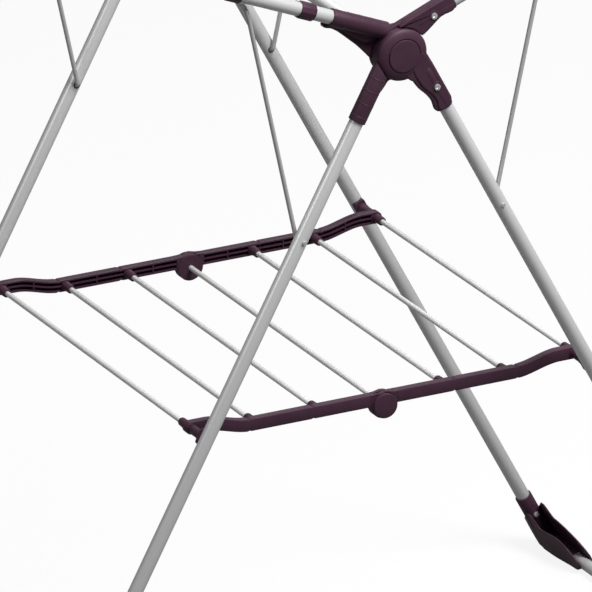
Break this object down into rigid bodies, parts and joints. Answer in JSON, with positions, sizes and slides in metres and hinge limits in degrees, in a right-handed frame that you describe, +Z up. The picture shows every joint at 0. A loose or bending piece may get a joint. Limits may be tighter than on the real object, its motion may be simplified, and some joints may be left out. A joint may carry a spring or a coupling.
{
  "type": "clothes drying rack",
  "caption": "Free-standing folding clothes airer: two leg frames and two wings on one axle, held open by wire bails and a folding lower shelf.",
  "frame": {"origin": "on the floor, midway between the four feet, under the middle of the axle", "axes": "+X across the wings towards the right wing, +Y along the axle towards the far hub, +Z up"},
  "size_m": [1.4848, 0.567, 1.1968],
  "materials": {
    "silver_tube": "satin silver powder coat",
    "axle_tube": "satin white lacquer",
    "white_rod": "smooth white coating",
    "bail_wire": "satin silver",
    "screw_steel": "polished nickel",
    "dark_plastic": "satin aubergine polypropylene"
  },
  "bodies": {
    "left_legs": {"left_leg_near": "silver_tube", "left_leg_far": "silver_tube", "left_floor_bar": "silver_tube", "left_foot_near": "dark_plastic", "left_foot_far": "dark_plastic", "left_leg_arm_near": "dark_plastic", "left_leg_arm_far": "dark_plastic", "left_leg_screws": "screw_steel", "left_foot_screws": "screw_steel", "left_shelf_bracket_near": "dark_plastic", "left_shelf_bracket_far": "dark_plastic", "hub_axle": "axle_tube", "hub_cap_near": "dark_plastic", "hub_cap_far": "dark_plastic"},
    "right_legs": {"right_leg_near": "silver_tube", "right_leg_far": "silver_tube", "right_floor_bar": "silver_tube", "right_foot_near": "dark_plastic", "right_foot_far": "dark_plastic", "right_leg_arm_near": "dark_plastic", "right_leg_arm_far": "dark_plastic", "right_leg_screws": "screw_steel", "right_foot_screws": "screw_steel", "right_shelf_bracket_near": "dark_plastic", "right_shelf_bracket_far": "dark_plastic"},
    "left_wing": {"left_wing_frame": "silver_tube", "left_wing_arm_near": "dark_plastic", "left_wing_arm_far": "dark_plastic", "left_wing_rods": "white_rod", "left_wing_collars": "dark_plastic", "left_wing_screws": "screw_steel", "left_bail_seats": "dark_plastic"},
    "right_wing": {"right_wing_frame": "silver_tube", "right_wing_arm_near": "dark_plastic", "right_wing_arm_far": "dark_plastic", "right_wing_rods": "white_rod", "right_wing_collars": "dark_plastic", "right_wing_screws": "screw_steel", "right_bail_seats": "dark_plastic"},
    "left_bail": {"left_bail": "bail_wire"},
    "right_bail": {"right_bail": "bail_wire"},
    "shelf_left": {"shelf_rail_left_near": "dark_plastic", "shelf_rail_left_far": "dark_plastic", "shelf_rods_left": "white_rod", "shelf_pivot_rod_left": "white_rod", "shelf_hinge_rod": "white_rod", "shelf_hinge_caps": "dark_plastic"},
    "shelf_right": {"shelf_rail_right_near": "dark_plastic", "shelf_rail_right_far": "dark_plastic", "shelf_rods_right": "white_rod"}
  },
  "joints": [
    {"name": "leg_fold", "type": "hinge", "parent": "left_legs", "child": "right_legs", "pos_m": [0, 0, 0.871], "axis": [0, 1, 0], "range_deg": [0, 52]},
    {"name": "left_wing_fold", "type": "hinge", "parent": "left_legs", "child": "left_wing", "pos_m": [0, 0, 0.871], "axis": [0, -1, 0], "range_deg": [0, 50]},
    {"name": "right_wing_fold", "type": "hinge", "parent": "right_legs", "child": "right_wing", "pos_m": [0, 0, 0.871], "axis": [0, 1, 0], "range_deg": [0, 50]},
    {"name": "left_bail_fold", "type": "hinge", "parent": "left_legs", "child": "left_bail", "pos_m": [-0.12245, 0, 0.67691], "axis": [0, -1, 0], "range_deg": [0, 124.21]},
    {"name": "right_bail_fold", "type": "hinge", "parent": "right_legs", "child": "right_bail", "pos_m": [0.12245, 0, 0.67691], "axis": [0, 1, 0], "range_deg": [0, 124.21]},
    {"name": "shelf_left_fold", "type": "hinge", "parent": "left_legs", "child": "shelf_left", "pos_m": [-0.23697, 0, 0.46599], "axis": [0, -1, 0], "range_deg": [0, 59.53]},
    {"name": "shelf_right_fold", "type": "hinge", "parent": "shelf_left", "child": "shelf_right", "pos_m": [0, 0, 0.44899], "axis": [0, 1, 0], "range_deg": [0, 171.06]}
  ],
  "couplings": [
    {"joint": "left_bail_fold", "follows": "left_wing_fold", "ratio": 2.484},
    {"joint": "right_bail_fold", "follows": "right_wing_fold", "ratio": 2.484},
    {"joint": "shelf_left_fold", "follows": "leg_fold", "ratio": 1.1447},
    {"joint": "shelf_right_fold", "follows": "leg_fold", "ratio": 3.2894}
  ]
}
